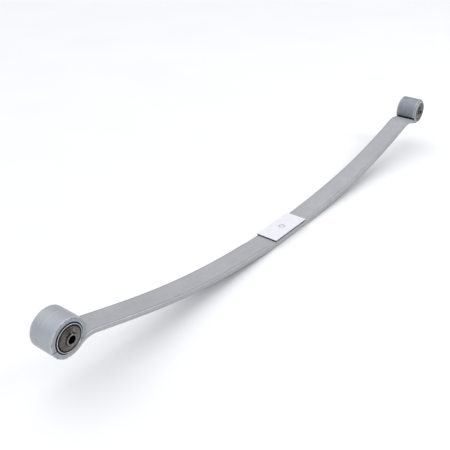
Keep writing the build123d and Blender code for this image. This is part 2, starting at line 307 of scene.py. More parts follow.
# ============================================================ node materials
class Nodes:
    def __init__(self, name):
        self.mat = bpy.data.materials.new(name)
        self.mat.use_nodes = True
        self.t = self.mat.node_tree
        self.bsdf = self.t.nodes["Principled BSDF"]
        self.obj = self.add("ShaderNodeTexCoord").outputs["Object"]

    def add(self, kind, **props):
        n = self.t.nodes.new(kind)
        for k, v in props.items():
            setattr(n, k, v)
        return n

    def link(self, a, b):
        self.t.links.new(a, b)

    def set(self, name, value):
        self.bsdf.inputs[name].default_value = value

    def scaled(self, scale, vec=None):
        m = self.add("ShaderNodeMapping")
        m.inputs["Scale"].default_value = scale
        self.link(vec or self.obj, m.inputs["Vector"])
        return m.outputs["Vector"]

    def noise(self, scale, detail=3.0, rough=0.55, vec=None, distortion=0.0):
        n = self.add("ShaderNodeTexNoise")
        n.inputs["Scale"].default_value = scale
        n.inputs["Detail"].default_value = detail
        n.inputs["Roughness"].default_value = rough
        n.inputs["Distortion"].default_value = distortion
        self.link(vec or self.obj, n.inputs["Vector"])
        return n.outputs["Fac"]

    def voronoi(self, scale, vec=None, feature="F1", out="Distance", randomness=1.0):
        n = self.add("ShaderNodeTexVoronoi", feature=feature)
        n.inputs["Scale"].default_value = scale
        n.inputs["Randomness"].default_value = randomness
        self.link(vec or self.obj, n.inputs["Vector"])
        return n.outputs[out]

    def ramp(self, fac, stops):
        n = self.add("ShaderNodeValToRGB")
        el = n.color_ramp.elements
        while len(el) < len(stops):
            el.new(0.5)
        for e, (pos, col) in zip(el, stops):
            e.position = pos
            e.color = (*col, 1) if len(col) == 3 else col
        self.link(fac, n.inputs["Fac"])
        return n.outputs["Color"]

    def span(self, fac, lo, hi, a=0.0, b=1.0):
        n = self.add("ShaderNodeMapRange")
        n.inputs["From Min"].default_value = lo
        n.inputs["From Max"].default_value = hi
        n.inputs["To Min"].default_value = a
        n.inputs["To Max"].default_value = b
        self.link(fac, n.inputs["Value"])
        return n.outputs["Result"]

    def math(self, op, a, b=None):
        n = self.add("ShaderNodeMath", operation=op)
        for i, v in enumerate((a, b)):
            if v is None:
                continue
            if isinstance(v, (int, float)):
                n.inputs[i].default_value = v
            else:
                self.link(v, n.inputs[i])
        return n.outputs["Value"]

    def mix(self, fac, a, b, mode="MIX"):
        n = self.add("ShaderNodeMix", data_type="RGBA", blend_type=mode)
        for key, v in (("Factor", fac), ("A", a), ("B", b)):
            sock = [s for s in n.inputs if s.name == key and s.type == ("VALUE" if key == "Factor" else "RGBA")][0]
            if isinstance(v, (int, float)):
                sock.default_value = v
            elif isinstance(v, tuple):
                sock.default_value = (*v, 1)
            else:
                self.link(v, sock)
        return [s for s in n.outputs if s.type == "RGBA"][0]

    def attr(self, name, vector=False):
        n = self.add("ShaderNodeAttribute", attribute_name=name)
        return n.outputs["Vector" if vector else "Fac"]

    def bump(self, pairs):
        """pairs of (height socket, distance in metres), applied one over the other."""
        prev = None
        for height, dist in pairs:
            b = self.add("ShaderNodeBump")
            b.inputs["Strength"].default_value = 1.0
            b.inputs["Distance"].default_value = dist
            self.link(height, b.inputs["Height"])
            if prev is not None:
                self.link(prev, b.inputs["Normal"])
            prev = b.outputs["Normal"]
        self.link(prev, self.bsdf.inputs["Normal"])

    def finish(self, color, roughness):
        self.link(color, self.bsdf.inputs["Base Color"])
        self.link(roughness, self.bsdf.inputs["Roughness"])
        return self.mat


def paint_material():
    """Silver-grey paint over rolled and shot-peened steel."""
    n = Nodes("leaf_paint")
    flow = n.attr("flow", vector=True)
    wear_and_painted_light, mill = n.attr("wear_and_painted_light"), n.attr("mill")
    dark_marks_and_painted_shade, under, rear_painted_shade = n.attr("dark_marks_and_painted_shade"), n.attr("under"), n.attr("rear")
    cloud = n.noise(9.0, 4.0, 0.6)
    patch = n.noise(42.0, 4.0, 0.6, distortion=0.4)
    streak = n.noise(1.0, 4.0, 0.6, vec=n.scaled((7.0, 260.0, 260.0), flow))
    grain = n.noise(620.0, 2.0, 0.7)
    mottle = n.noise(260.0, 3.0, 0.65)
    top = n.ramp(cloud, [(0.30, (0.405, 0.392, 0.414)), (0.70, (0.472, 0.460, 0.480))])
    low = n.ramp(cloud, [(0.30, (0.352, 0.366, 0.400)), (0.70, (0.412, 0.427, 0.462))])
    base = n.mix(under, top, low)
    base = n.mix(n.span(patch, 0.38, 0.70, 0.0, 0.48), base, (0.36, 0.368, 0.40))
    base = n.mix(n.span(streak, 0.45, 0.72, 0.0, 0.42), base, (0.51, 0.505, 0.52))
    base = n.mix(n.span(grain, 0.40, 0.68, 0.0, 0.30), base, (0.31, 0.315, 0.335))
    base = n.mix(n.span(mottle, 0.44, 0.64, 0.0, 0.32), base, (0.345, 0.345, 0.375))
    # painted shade: the rear roll and the bar towards it painted darker and bluer, with darker mottling over the rear
    # end
    base = n.mix(rear_painted_shade, base, (0.66, 0.685, 0.725), "MULTIPLY")
    smoke_and_shade = n.math("MULTIPLY", rear_painted_shade, n.span(n.noise(60.0, 4.0, 0.65, distortion=0.6), 0.42, 0.68, 0.0, 0.55))
    base = n.mix(smoke_and_shade, base, (0.185, 0.205, 0.235))
    # thinner, bluer coat on the milled faces; the edges lighter, partly rubbed paint and partly painted highlight
    base = n.mix(n.math("MULTIPLY", mill, 0.85), base, (0.255, 0.285, 0.335))
    # painted highlight with real edge wear: the corners weighted by the edge mark are lightened
    rub = n.math("MULTIPLY", wear_and_painted_light, n.span(n.noise(55.0, 4.0, 0.65), 0.36, 0.60, 0.35, 1.0))
    base = n.mix(rub, base, (0.70, 0.705, 0.735))
    # pinholes and chips that show the dark steel
    spots = n.voronoi(95.0)
    chance = n.noise(17.0, 2.0, 0.5)
    pits = n.math("MULTIPLY", n.math("LESS_THAN", spots, 0.105), n.math("GREATER_THAN", chance, 0.60))
    base = n.mix(n.math("MULTIPLY", pits, 0.75), base, (0.13, 0.13, 0.14))
    face_spots = n.voronoi(150.0)
    face_pits = n.math("MULTIPLY", n.math("LESS_THAN", face_spots, 0.17), mill)
    base = n.mix(n.math("MULTIPLY", face_pits, n.span(chance, 0.45, 0.60, 0.0, 0.8)), base, (0.11, 0.11, 0.13))
    chip_noise = n.noise(130.0, 3.0, 0.7)
    chips = n.math("MULTIPLY", n.math("MULTIPLY", wear_and_painted_light, n.math("GREATER_THAN", chip_noise, 0.665)), 0.8)
    base = n.mix(chips, base, (0.17, 0.165, 0.165))
    # dark marks and painted shade: chips, nick, seam and the line by the top edges darkened; the bore, the roll ends
    # and the gap under the rear tip near black as painted shade
    base = n.mix(n.math("MULTIPLY", dark_marks_and_painted_shade, 0.96), base, (0.022, 0.021, 0.022))
    rough = n.span(n.noise(150.0, 3.0, 0.6), 0.3, 0.7, 0.42, 0.56)
    n.set("Metallic", 0.22)
    n.set("Specular IOR Level", 0.5)
    n.bump([(n.noise(70.0, 3.0, 0.55), 0.00035), (n.noise(520.0, 3.0, 0.6), 0.00010),
            (n.span(spots, 0.0, 0.16, 0.0, 1.0), 0.00006)])
    return n.finish(base, rough)


def plate_material():
    """Bright zinc-coated liner with a fine tooth and handling marks; its sides, hole wall and underside are painted
    near black as painted shade.
    """
    n = Nodes("plate_zinc")
    edge = n.attr("mask")
    cloud = n.noise(60.0, 4.0, 0.6)
    fine = n.noise(900.0, 2.0, 0.7)
    spangle = n.voronoi(330.0, out="Color")
    base = n.ramp(cloud, [(0.3, (0.760, 0.752, 0.800)), (0.7, (0.870, 0.862, 0.895))])
    base = n.mix(0.05, base, spangle, "SOFT_LIGHT")
    base = n.mix(n.span(fine, 0.42, 0.72, 0.0, 0.34), base, (0.62, 0.605, 0.70))
    base = n.mix(n.span(n.noise(240.0, 3.0, 0.65), 0.50, 0.70, 0.0, 0.30), base, (0.66, 0.645, 0.73))
    scratch = n.noise(1.0, 3.0, 0.6, vec=n.scaled((60.0, 1500.0, 60.0)))
    scratch = n.math("MULTIPLY", n.math("GREATER_THAN", scratch, 0.665), 0.30)
    base = n.mix(scratch, base, (0.60, 0.60, 0.66))
    # painted shade: the sheet's sides, underside and hole wall near black, the rim round the hole darker
    base = n.mix(n.math("MULTIPLY", edge, 0.93), base, (0.055, 0.057, 0.066))
    rough = n.span(n.noise(220.0, 3.0, 0.6), 0.3, 0.7, 0.38, 0.55)
    n.set("Metallic", 0.12)
    n.bump([(n.noise(110.0, 3.0, 0.5), 0.00012), (fine, 0.00005)])
    return n.finish(base, rough)


def rubber_material(name, tone=0.018, dust=0.10):
    """Moulded black rubber with bloom in the hollows."""
    n = Nodes(name)
    base = n.ramp(n.noise(160.0, 4.0, 0.6), [(0.3, (tone * 0.7,) * 3), (0.75, (tone * 1.7, tone * 1.7, tone * 1.85))])
    bloom = n.span(n.noise(48.0, 4.0, 0.65), 0.50, 0.78, 0.0, dust)
    base = n.mix(bloom, base, (0.16, 0.16, 0.17))
    rough = n.span(n.noise(240.0, 3.0, 0.6), 0.3, 0.7, 0.50, 0.74)
    n.set("Specular IOR Level", 0.22)
    n.bump([(n.noise(420.0, 3.0, 0.6), 0.00008)])
    return n.finish(base, rough)


def steel_material(name, dark, light, stain, rough_lo, rough_hi, metallic=0.85, ring=900.0, centre=None):
    """Turned or pressed steel: tool marks round the axis and stains; the mask darkens bores, grooves, gaps and hidden
    faces, down to near black: painted shade.
    """
    n = Nodes(name)
    mask = n.attr("mask")
    cloud = n.noise(70.0, 4.0, 0.6, distortion=0.5)
    base = n.ramp(cloud, [(0.3, dark), (0.72, light)])
    blot = n.span(n.noise(150.0, 4.0, 0.7), 0.50, 0.74, 0.0, 0.75)
    base = n.mix(blot, base, stain)
    fine = n.noise(1100.0, 2.0, 0.7)
    base = n.mix(n.span(fine, 0.45, 0.75, 0.0, 0.22), base, tuple(c * 1.45 for c in light))
    tone = n.attr("tone")                          # 0 dark oil film, 0.5 plain, 1 rubbed bright
    base = n.mix(n.span(tone, 0.0, 0.5, 0.90, 0.0), base, tuple(c * 0.16 for c in dark))
    base = n.mix(n.span(tone, 0.5, 1.0, 0.0, 0.90), base, tuple(min(1.0, c * 3.9) for c in light))
    # painted shade: near black where the mask marks bores, grooves, gaps and hidden faces
    base = n.mix(n.math("MULTIPLY", mask, 0.96), base, tuple(c * 0.05 for c in dark))
    rough = n.span(n.noise(190.0, 3.0, 0.6), 0.3, 0.7, rough_lo, rough_hi)
    n.set("Metallic", metallic)
    pairs = [(n.noise(300.0, 3.0, 0.6), 0.00006)]
    if centre is not None:
        # fine rings about the eye axis, from the distance to it
        m = n.add("ShaderNodeMapping")
        m.inputs["Location"].default_value = (-centre[0] * MM, 0, -centre[1] * MM)
        m.inputs["Scale"].default_value = (1, 0, 1)
        n.link(n.obj, m.inputs["Vector"])
        ln = n.add("ShaderNodeVectorMath", operation="LENGTH")
        n.link(m.outputs["Vector"], ln.inputs[0])
        wave = n.math("SINE", n.math("MULTIPLY", ln.outputs["Value"], ring * 2 * math.pi))
        pairs.append((wave, 0.000012))
    n.bump(pairs)
    return n.finish(base, rough)


paint = paint_material()
zinc = plate_material()
pad_rubber = rubber_material("pad_rubber", 0.020, 0.12)
bush_rubber = rubber_material("bush_rubber", 0.008, 0.02)


def collar_material():
    """Rear bush rubber: its collars were caught by the paint, thick on the bead and thin on the face."""
    n = Nodes("bush_rubber_collar")
    mask = n.attr("mask")
    cloud = n.noise(55.0, 4.0, 0.65)
    face = n.ramp(cloud, [(0.30, (0.095, 0.098, 0.105)), (0.72, (0.215, 0.215, 0.225))])
    base = n.mix(n.span(mask, 0.45, 1.0, 0.0, 1.0), face, (0.47, 0.48, 0.505))
    base = n.mix(n.span(mask, 0.0, 0.4, 1.0, 0.0), base, (0.010, 0.010, 0.011))
    base = n.mix(n.span(n.noise(520.0, 2.0, 0.7), 0.42, 0.70, 0.0, 0.25), base, (0.10, 0.10, 0.11))
    rough = n.span(n.noise(240.0, 3.0, 0.6), 0.3, 0.7, 0.46, 0.66)
    n.set("Specular IOR Level", 0.4)
    n.bump([(n.noise(130.0, 3.0, 0.6), 0.00015), (n.noise(420.0, 3.0, 0.6), 0.00008)])
    return n.finish(base, rough)


collar_rubber = collar_material()
sleeve_steel = steel_material("sleeve_steel", (0.50, 0.50, 0.51), (0.66, 0.66, 0.67), (0.34, 0.33, 0.32), 0.30, 0.46,
                              metallic=0.7, centre=FRONT_EYE)
rear_sleeve_steel = steel_material("rear_sleeve_steel", (0.40, 0.40, 0.41), (0.55, 0.55, 0.56), (0.28, 0.27, 0.26),
                                   0.32, 0.48, metallic=0.7, centre=REAR_EYE)
cap_front = steel_material("cap_steel_front", (0.105, 0.092, 0.086), (0.190, 0.172, 0.165), (0.070, 0.060, 0.056),
                           0.17, 0.30, metallic=0.9, ring=700.0, centre=FRONT_EYE)
cap_rear = steel_material("cap_steel_rear", (0.120, 0.114, 0.116), (0.205, 0.196, 0.198), (0.072, 0.066, 0.066),
                          0.17, 0.30, metallic=0.9, ring=700.0, centre=REAR_EYE)
hub_front = steel_material("inner_steel_front", (0.165, 0.145, 0.140), (0.270, 0.250, 0.245), (0.10, 0.08, 0.075),
                           0.22, 0.36, metallic=0.85, ring=900.0, centre=FRONT_EYE)
hub_rear = steel_material("inner_steel_rear", (0.165, 0.145, 0.140), (0.270, 0.250, 0.245), (0.10, 0.08, 0.075),
                          0.22, 0.36, metallic=0.85, ring=900.0, centre=REAR_EYE)
dowel_steel = steel_material("dowel_steel", (0.68, 0.68, 0.73), (0.84, 0.84, 0.88), (0.58, 0.58, 0.63), 0.30, 0.48,
                             metallic=0.35, ring=1100.0, centre=(0, 0))


# ============================================================ main leaf
def section(w, h, r, crown):
    """Outline of the bar: flat faces, sides crowned by crown, round corners. (y, v, edge weight, edge line) with v =
    -1 .. 1 over the thickness; the edge weight lightens the corners as worn paint and painted highlight, the edge line
    darkens a strip of the top face by each corner."""
    r = min(r, h * 0.6)
    tilt = math.atan(2 * crown / (h - 0.5 * r))
    z1 = h - r + r * math.sin(tilt)
    k = math.tan(tilt) / (2 * z1)
    y1 = w - k * z1 * z1
    cy = y1 - r * math.cos(tilt)
    nc, ns, nt = 6, 12, 18
    q = []
    for i in range(ns // 2):                       # side, from the middle up
        z = z1 * i / (ns / 2)
        q.append((w - k * z * z, z, 0.15, 0.0))
    for i in range(nc):                            # upper corner
        a = tilt + (math.pi / 2 - tilt) * i / nc
        q.append((cy + r * math.cos(a), h - r + r * math.sin(a), math.sin((i + 0.5) / nc * math.pi), 0.0))
    for y, m, g in ((cy, 0.35, 0.2), (cy - 0.5, 0.0, 1.0), (cy - 1.2, 0.0, 0.8), (cy - 2.2, 0.0, 0.0)):
        q.append((y, h, m, g))
    for i in range(1, nt // 2 + 1):                # top face to its middle
        q.append(((cy - 2.2) * (1 - i / (nt / 2)), h, 0.0, 0.0))
    upper = q + [(-y, z, m, g) for y, z, m, g in reversed(q[1:-1])] + [(-q[0][0], 0.0, q[0][2], 0.0)]
    lower = [(y, -z, m, g) for y, z, m, g in reversed(upper[1:-1])]
    return [(y, z / h, m, g) for y, z, m, g in upper + lower]


def milled(side, deg):
    """0 on the rolled bar, 1 on the milled eye face."""
    if side == 0:
        return 0.0
    if side < 0:
        return smooth((FRONT_MILL_TO + 1.3 - deg) / 2.6)
    return smooth((deg - REAR_MILL_TO + 1.3) / 2.6)


def face_height(side, deg, v):
    """Height of a point of the milled face above its plane, across (v) and round the wall."""
    if side != -1:
        return 0.0
    seam = FRONT_SEAM + 3.1 * v                    # the seam leans across the wall
    up = 0.32 * smooth((deg - seam) / 0.8)         # the stretch next to the bar stands proud
    return up - 1.05 * math.exp(-((deg - seam) / 0.80) ** 2)


def face_dark(side, deg, radius, v):
    """Dirt in the seam, in the nick and in small chips of the front eye's milled faces."""
    if side != -1:
        return 0.0
    out = math.exp(-((deg - FRONT_SEAM - 3.1 * v) / 1.25) ** 2)
    for at, r, size in FACE_CHIPS:
        d = math.radians((deg - at + 180) % 360 - 180) * radius
        out = max(out, math.exp(-((d * d + (radius - r) ** 2) / size ** 2)))
    return out


REAR_TIP = REAR_EYE + rear["outer"] * np.array([math.cos(REAR_END), math.sin(REAR_END)])
verts, wear_and_painted_light, mill, dark_marks_and_painted_shade, under, rear_shade_part, flow = [], [], [], [], [], [], []
s_run, prev = 0.0, None
cols = None
for top, bot, deg, side in stations:
    mid = (top + bot) / 2
    half = (top - bot) / 2
    h = float(np.linalg.norm(half))
    if prev is not None:
        s_run += float(np.linalg.norm(mid - prev))
    prev = mid
    m = milled(side, deg if deg is not None else 0.0)
    uneven = 0.30 * noise.noise(Vector((s_run * 0.05, 3.1, 0.0)))
    r = 2.6 + (1.75 + uneven - 2.6) * m
    crown = 1.5 * (1 - m) + 0.02
    w = LEAF_W + (EYE_W - LEAF_W) * m
    # mill edge of the bar wanders a little
    w -= (1 - m) * 0.12 * (0.5 + 0.5 * noise.noise(Vector((s_run * 0.021, 7.7, 0.0))))
    pts = section(w, h, r, crown)
    cols = len(pts)
    flat_to = max(abs(q[0]) for q in pts if abs(q[1]) > 0.999)
    for y, v, weight, edge_line in pts:
        p = mid + half * v
        # low waviness of the rolled faces, always inwards; none under the seat
        flat = 0.0
        if deg is None and abs(mid[0]) > SEAT_FLAT + 6 and abs(v) > 0.98:
            f = smooth((abs(mid[0]) - SEAT_FLAT - 6) / 40)
            q = Vector((mid[0] * 0.022, y * 0.05, 11.0 * v))
            flat = 0.10 * f * (0.5 + 0.5 * noise.noise(q)) + 0.05 * f * (0.5 + 0.5 * noise.noise(q * 4.1))
        p = p - half / h * flat * v
        yy = y
        if m > 0 and abs(y) > flat_to:
            yy += math.copysign(m * face_height(side, deg, v), y)
        verts.append((p[0], yy, p[1]))
        # edge weight: upper corners more than lower ones, most towards the front eye; it lightens them as painted
        # highlight and worn paint
        wear_and_painted_light.append(weight * (1.0 if side == 0 else 0.9) * (0.35 if v < -0.05 and side == 0 else 1.0)
                    * (1.0 if side else 0.40 + 0.60 * smooth((-mid[0] - 470) / 160)))
        on_face = 1.0 if abs(y) > w - r * 0.35 else 0.0
        proud = 0.35 if side == -1 and deg > FRONT_SEAM + 3.1 * v else 0.0
        mill.append(m * on_face * (1 - proud))
        # a dark line along the top face next to each corner; the bore of the roll painted near black out over the
        # rounded edge: painted shade
        dark = 0.55 * edge_line * (1 - m)
        if side != 0 and v > 0 and m > 0:
            dark = max(dark, m * smooth((w - 0.10 * r - abs(y)) / (0.35 * r)) if v > 1 - 2.2 * r / h else 0.0)
        if on_face and m > 0.5:
            dark = max(dark, face_dark(side, deg, float(np.linalg.norm(p - (FRONT_EYE if side < 0 else REAR_EYE))), v))
        if side > 0:                               # painted shade behind the tip of the roll, and half dark in the bore by the start of the roll
            dark = max(dark, 0.9 * smooth((deg - math.degrees(REAR_END) + 4.0) / 1.4))
            if v > 0 and deg < math.degrees(rear["start"]) + 3:
                dark = max(dark, 0.5)
        elif side == 0 and mid[0] > 0 and v > 0.2:
            # painted shade on the top of the bar in the gap under the rear tip
            gap = float(np.linalg.norm(p - REAR_TIP))
            dark = max(dark, 0.92 * smooth((8.0 - gap) / 4.0))
        dark_marks_and_painted_shade.append(dark)
        under.append(smooth((0.2 - v) / 0.9))
        # painted shade: the rear roll, and the bar growing towards it, take the darker, bluer paint
        rear_shade_part.append(max(0.24, smooth((deg + 62) / 60)) if side > 0 else 0.24 * smooth((mid[0] - 200) / 450))
        flow.append((s_run * MM, y * MM, v * h * MM))
rows = len(stations)
verts = [np.array(v) for v in verts]

# a nick in the outer edge of the front eye, on its -Y side
NICK = np.array([FRONT_EYE[0] + front["outer"] * math.cos(math.radians(NICK_AT)), -EYE_W,
                 FRONT_EYE[1] + front["outer"] * math.sin(math.radians(NICK_AT))])
for i, v in enumerate(verts):
    d = np.linalg.norm(v - NICK)
    if d < 3.4:
        inward = np.array([FRONT_EYE[0] - v[0], 0, FRONT_EYE[1] - v[2]])
        inward = inward / np.linalg.norm(inward)
        f = smooth(1 - d / 3.4)
        verts[i] = v + f * (inward * 1.3 + np.array([0, 1.2, 0]))

faces = ring_faces(rows, cols)
# close both ends of the roll: a narrow rounded rim, then a flat face
for ring, sgn in ((0, 1), (rows - 1, -1)):
    base = ring * cols
    loop = [verts[base + k] for k in range(cols)]
    nxt = [verts[(ring + sgn) * cols + k] for k in range(cols)]
    c = sum(loop) / cols
    axis = sum(a - b for a, b in zip(loop, nxt))
    axis = axis / np.linalg.norm(axis)
    prev_base = base
    for inset, out in ((0.22, 0.30), (0.62, 0.52), (1.2, 0.60)):
        new_base = len(verts)
        for k in range(cols):
            p = loop[k]
            d = np.array([0, math.copysign(1, c[1] - p[1]) if abs(p[1] - c[1]) > EYE_W - 2.5 else 0, 0]) * 1.0
            inw = c - p
            flat = np.array([inw[0], 0, inw[2]])
            ln = np.linalg.norm(flat)
            flat = flat / ln if ln > 1e-6 else flat
            verts.append(p + flat * min(inset, ln * 0.8) + d * inset + axis * out * 0.5)
            # the end faces of the rolls: near black, painted shade
            wear_and_painted_light.append(0.7)
            mill.append(1.0)
            dark_marks_and_painted_shade.append(0.8)
            under.append(0.0)
            rear_shade_part.append(0.0)
            flow.append(flow[base + k])
        for k in range(cols):
            m = (k + 1) % cols
            quad = (prev_base + k, prev_base + m, new_base + m, new_base + k)
            faces.append(quad if sgn < 0 else quad[::-1])
        prev_base = new_base
    # fill the rim across the thickness: the outline is symmetric, so join upper to lower points
    half_n = cols // 2
    up = [prev_base + k for k in range(0, half_n + 1)]
    low = [prev_base + (cols - k) % cols for k in range(0, half_n + 1)]
    for k in range(half_n):
        if k == 0:
            f = (up[0], up[1], low[1])
        elif k == half_n - 1:
            f = (up[k], up[k + 1], low[k])
        else:
            f = (up[k], up[k + 1], low[k + 1], low[k])
        faces.append(f if sgn < 0 else f[::-1])

leaf = new_object("main_leaf_mesh", verts, faces, "main_leaf", "leaf", paint,
                  {"wear_and_painted_light": ("FLOAT", wear_and_painted_light), "mill": ("FLOAT", mill), "dark_marks_and_painted_shade": ("FLOAT", dark_marks_and_painted_shade),
                   "under": ("FLOAT", under), "rear": ("FLOAT", rear_shade_part), "flow": ("FLOAT_VECTOR", flow)})


# ============================================================ seat plate, pad and dowel
def rounded_rect(half_l, half_w, r, n_long, n_short, n_arc):
    """Points round a rectangle, starting at (half_l, 0) and going anticlockwise."""
    pts = []
    for i in range(n_short // 2):
        pts.append((half_l, (half_w - r) * i / (n_short / 2)))
    quarters = [((half_l - r, half_w - r), 0), ((-half_l + r, half_w - r), 90),
                ((-half_l + r, -half_w + r), 180), ((half_l - r, -half_w + r), 270)]
    sides = [n_long, n_short, n_long, n_short // 2]
    for ((cx, cy), a0), n_side, q in zip(quarters, sides, range(4)):
        for i in range(n_arc + 1):
            a = math.radians(a0 + 90 * i / n_arc)
            pts.append((cx + r * math.cos(a), cy + r * math.sin(a)))
        last = pts[-1]
        if q < 3:
            cx2, cy2 = quarters[q + 1][0]
            a = math.radians(quarters[q + 1][1])
            nxt = (cx2 + r * math.cos(a), cy2 + r * math.sin(a))
            for i in range(1, n_side):
                pts.append((last[0] + (nxt[0] - last[0]) * i / n_side, last[1] + (nxt[1] - last[1]) * i / n_side))
        else:
            for i in range(1, n_side):
                pts.append((half_l, last[1] * (1 - i / n_side)))
    return pts


def holed_sheet(name, half_l, half_w, corner, z0, z1, hole_r, soft, node, material, dish=0.0, seed=0.0,
                side_in=0.0):
    """Flat sheet with a round hole, all edges rounded by soft."""
    n_long, n_short, n_arc = 56, 24, 5
    outer0 = rounded_rect(half_l, half_w, corner, n_long, n_short, n_arc)
    n = len(outer0)
    length = [0.0]
    for p, q in zip(outer0, outer0[1:] + outer0[:1]):
        length.append(length[-1] + math.dist(p, q))
    turn = [2 * math.pi * v / length[-1] for v in length[:-1]]

    def outer(inset):
        k = [(x * (half_l - inset) / half_l, y * (half_w - inset) / half_w) for x, y in outer0]
        return k

    def circle(r):
        return [(r * math.cos(a), r * math.sin(a)) for a in turn]

    def lerp(a, b, f):
        return [(p[0] + (q[0] - p[0]) * f, p[1] + (q[1] - p[1]) * f) for p, q in zip(a, b)]

    arc = 4
    # the mask marks the hole wall, the sides and the underside, which the plate paints near black as painted shade
    loops = []          # (points, z, mask)
    hole_edge = [(soft * (1 - math.cos(a)), soft * (1 - math.sin(a))) for a in
                 [math.pi / 2 * i / arc for i in range(arc + 1)]]
    for f in (0.0, 0.5, 1.0):                                         # hole wall, upwards
        loops.append((circle(hole_r), z0 + soft + (z1 - z0 - 2 * soft) * f, 1.0))
    for i in range(1, arc + 1):                                       # hole rim, top
        a = math.pi / 2 * i / arc
        loops.append((circle(hole_r + soft * (1 - math.cos(a))), z1 - soft * (1 - math.sin(a)), 0.6))
    inner_top, outer_top = circle(hole_r + soft), outer(soft)
    steps = [0.03, 0.08, 0.16, 0.27, 0.40, 0.54, 0.68, 0.81, 0.92]
    for f in steps:
        loops.append((lerp(inner_top, outer_top, f), z1, 0.0))
    for i in range(arc + 1):                                          # outer rim, top
        a = math.pi / 2 * (1 - i / arc)
        loops.append((outer(soft * (1 - math.cos(a))), z1 - soft * (1 - math.sin(a)), 0.0 if i < 2 else 1.0))
    loops.append((outer(side_in), (z0 + z1) / 2, 1.0))
    for i in range(arc + 1):                                          # outer rim, bottom
        a = math.pi / 2 * i / arc
        loops.append((outer(soft * (1 - math.cos(a))), z0 + soft * (1 - math.sin(a)), 1.0))
    inner_bot, outer_bot = circle(hole_r + soft), outer(soft)
    for f in reversed(steps):
        loops.append((lerp(inner_bot, outer_bot, f), z0, 1.0))
    for i in range(arc):                                              # hole rim, bottom
        a = math.pi / 2 * (1 - i / arc)
        loops.append((circle(hole_r + soft * (1 - math.cos(a))), z0 + soft * (1 - math.sin(a)), 1.0))
    vs, mask = [], []
    for pts, z, m in loops:
        for x, y in pts:
            d = 0.0
            if dish and abs(z - z1) < 1e-6:
                d = dish * (0.5 + 0.5 * noise.noise(Vector((x * 0.06, y * 0.06, seed))))
            vs.append((x, y, z - d))
            mask.append(m)
    fs = ring_faces(len(loops), n, closed_rows=True)
    return new_object(name, vs, fs, node, "leaf", material, {"mask": ("FLOAT", mask)})


plate = holed_sheet("seat_plate_mesh", 72.0, 30.2, 1.2, -1.6, 0.0, 8.0, 0.22, "seat_plate", zinc,
                    dish=0.05, seed=2.0)
pad = holed_sheet("seat_pad_mesh", 71.8, 30.1, 1.6, -4.1, -1.6, 8.0, 0.45, "seat_pad", pad_rubber,
                  side_in=0.25)


def lathe_z(name, profile, node, body, material, segs=128, mark=None):
    """Solid turned about the Z axis through the origin, from (radius, z) with both ends on the axis."""
    pts = subdivide(profile, 2.5, closed=False)[1:-1]
    vs, mask = [(0, 0, profile[0][1])], [mark(0, profile[0][1]) if mark else 0.0]
    for r, z in pts:
        for k in range(segs):
            a = 2 * math.pi * k / segs
            vs.append((r * math.cos(a), r * math.sin(a), z))
            mask.append(mark(r, z) if mark else 0.0)
    vs.append((0, 0, profile[-1][1]))
    mask.append(mark(0, profile[-1][1]) if mark else 0.0)
    fs = []
    for k in range(segs):
        m = (k + 1) % segs
        fs.append((0, 1 + k, 1 + m))
        last = 1 + (len(pts) - 1) * segs
        fs.append((last + m, last + k, len(vs) - 1))
    for i in range(len(pts) - 1):
        a, b = 1 + i * segs, 1 + (i + 1) * segs
        for k in range(segs):
            m = (k + 1) % segs
            fs.append((a + k, b + k, b + m, a + m))
    return new_object(name, vs, fs, node, body, material,
                      {"mask": ("FLOAT", mask), "tone": ("FLOAT", [0.5] * len(vs))})


dowel_profile = fillet([
    (0, -0.75, 0), (0.6, -0.72, 0.3), (1.7, -0.05, 0.35), (5.6, -0.02, 0.4), (5.8, -0.28, 0.1), (6.15, -0.28, 0.1),
    (6.35, -0.02, 0.15), (7.6, -0.02, 0.4), (7.6, -4.1, 0.1), (6.0, -4.1, 0.1), (6.0, -18.1, 0.2),
    (8.5, -20.7, 0.15), (2.2, -20.7, 0.3), (1.2, -20.15, 0.3), (0, -20.1, 0)], closed=False, seg=4)
# mark: the head's wall down in the hole near black, the groove in its top darker: painted shade
dowel = lathe_z("centre_dowel_mesh", dowel_profile, "centre_dowel", "leaf", dowel_steel,
                mark=lambda r, z: 0.8 if (z < -0.5 and r > 6.9) else (0.35 if 5.7 < r < 6.2 and z > -1 else 0.0))


# ============================================================ bushes
def mirror_y(profile):
    """(radius, y, fillet) list for the +Y half, mirrored into one closed outline."""
    return profile + [(r, -y, f) for r, y, f in reversed(profile)]


def inner_sleeve(name, half, centre, body, node, material):
    prof = mirror_y([(8.1, half - 1.0, 0.2), (9.0, half, 0.25), (10.0, half, 0.05), (10.15, half - 0.16, 0.05),
                     (10.45, half - 0.16, 0.05), (10.6, half, 0.05), (11.3, half, 0.3), (12.5, half - 1.2, 0.4)])
    # mark: the bore near black, the outer edge by the cap's collar dark, the groove in the end face darker: painted
    # shade
    return lathe_y(name, centre, fillet(prof, seg=3), node, body, material, segs=128, longest=3.0,
                   mark=lambda r, y: 0.97 if r < 8.85 else (0.80 if r > 11.7 else (0.35 if 10.0 < r < 10.5 else 0.0)),
                   tone=lambda r, y, a: 0.46)


